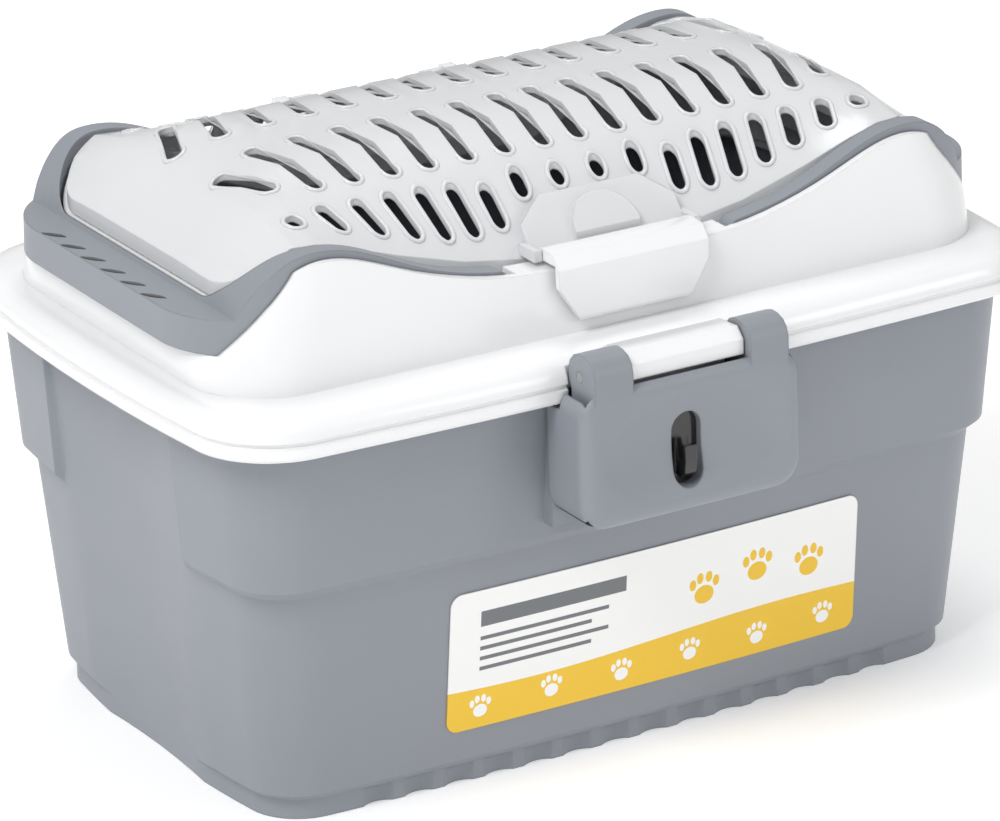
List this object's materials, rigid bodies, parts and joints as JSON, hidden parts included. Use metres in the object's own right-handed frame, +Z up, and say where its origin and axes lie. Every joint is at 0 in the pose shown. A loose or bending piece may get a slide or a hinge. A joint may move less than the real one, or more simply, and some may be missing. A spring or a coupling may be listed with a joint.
{
  "type": "pet carrier",
  "caption": "Small animal carrier: a tapered grey tub, a white domed lid with a slotted hatch, two swing-up carrying handles, and side clasps with strap hooks.",
  "frame": {"origin": "centre of the underside, on the surface the carrier stands on", "axes": "+X along the length, +Z up, the side with the label and the hatch catch faces -Y"},
  "size_m": [0.4, 0.3, 0.24],
  "materials": {
    "grey_plastic": "satin",
    "white_plastic": "gloss",
    "milky_plastic": "gloss",
    "black_plastic": "gloss",
    "label_film": "satin",
    "pin_steel": "satin"
  },
  "bodies": {
    "base": {"tub": "grey_plastic", "front_label": "label_film"},
    "lid": {"lid": "white_plastic", "handle_pins_left": "white_plastic", "handle_pins_right": "white_plastic", "door_hinge_pin": "pin_steel", "clasp_pin_front": "pin_steel", "clasp_pin_back": "pin_steel"},
    "handle_left": {"handle_left": "grey_plastic"},
    "handle_right": {"handle_right": "grey_plastic"},
    "door": {"door": "milky_plastic", "catch_pin": "pin_steel"},
    "door_catch": {"door_catch": "white_plastic"},
    "clasp_front": {"clasp_front": "grey_plastic", "strap_hook_front": "black_plastic"},
    "clasp_back": {"clasp_back": "grey_plastic", "strap_hook_back": "black_plastic"}
  },
  "joints": [
    {"name": "lid_lift", "type": "slide", "parent": "base", "child": "lid", "axis": [0, 0, 1], "range_m": [0, 0.12]},
    {"name": "handle_left_swing", "type": "hinge", "parent": "lid", "child": "handle_left", "pos_m": [-0.058, 0, 0.1945], "axis": [0, 1, 0], "range_deg": [0, 95]},
    {"name": "handle_right_swing", "type": "hinge", "parent": "lid", "child": "handle_right", "pos_m": [0.058, 0, 0.1945], "axis": [0, -1, 0], "range_deg": [0, 95]},
    {"name": "door_open", "type": "hinge", "parent": "lid", "child": "door", "pos_m": [0, 0.11, 0.208], "axis": [-1, 0, 0], "range_deg": [0, 95]},
    {"name": "catch_release", "type": "hinge", "parent": "door", "child": "door_catch", "pos_m": [0, -0.093, 0.2016], "axis": [-1, 0, 0], "range_deg": [0, 18], "stiffness_Nm_per_rad": 0.3},
    {"name": "clasp_front_open", "type": "hinge", "parent": "lid", "child": "clasp_front", "pos_m": [0, -0.138, 0.167], "axis": [-1, 0, 0], "range_deg": [0, 100]},
    {"name": "clasp_back_open", "type": "hinge", "parent": "lid", "child": "clasp_back", "pos_m": [0, 0.138, 0.167], "axis": [1, 0, 0], "range_deg": [0, 100]}
  ]
}
